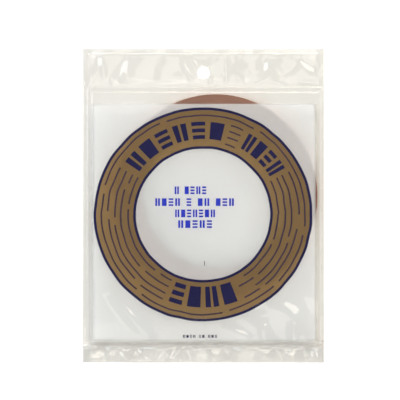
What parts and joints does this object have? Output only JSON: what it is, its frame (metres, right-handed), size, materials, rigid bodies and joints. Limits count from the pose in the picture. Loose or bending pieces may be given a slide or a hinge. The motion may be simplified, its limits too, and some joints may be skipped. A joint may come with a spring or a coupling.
{
  "type": "copper foil tape roll",
  "caption": "Roll of narrow copper foil tape on a cardboard core, behind a printed insert card in a sealed clear film bag with a hang hole.",
  "frame": {"origin": "middle of the bag's outline, on the underside of its back film", "axes": "+X to the right across the bag's front, +Y up towards the hang hole, +Z out of the bag's front; the bag lies on its back"},
  "size_m": [0.127, 0.1654, 0.0053],
  "materials": {
    "film": "clear, glossy and slightly warm, with wrinkles and heat seals",
    "paper": "matt white paper that lets some light through, printed in gold, navy and blue",
    "cardboard": "wound grey-brown chipboard tube",
    "winding": "edges of copper foil and release paper turn by turn",
    "liner": "smooth release paper",
    "copper": "bright rolled copper foil, slightly darkened"
  },
  "bodies": {
    "bag": {"back_film": "film", "front_film": "film"},
    "card": {"insert_card": "paper"},
    "core": {"core": "cardboard"},
    "winding": {"tape_winding": "winding", "outer_liner_turn": "liner", "outer_foil_turn": "copper"},
    "tail": {"tail_foil": "copper", "tail_liner": "liner"}
  },
  "joints": [
    {"name": "card_slide", "type": "slide", "parent": "bag", "child": "card", "axis": [0, 1, 0], "range_m": [0, 0.006]},
    {"name": "roll_slide", "type": "slide", "parent": "bag", "child": "core", "axis": [0, 1, 0], "range_m": [-0.0222, 0.0007]},
    {"name": "winding_turn", "type": "hinge", "parent": "core", "child": "winding", "pos_m": [0.00643, 0.00483, 0.0024], "axis": [0, 0, 1], "continuous": true},
    {"name": "tail_lift", "type": "hinge", "parent": "winding", "child": "tail", "pos_m": [-0.03803, -0.02498, 0.0024], "axis": [0, 0, -1], "range_deg": [0, 60]}
  ]
}
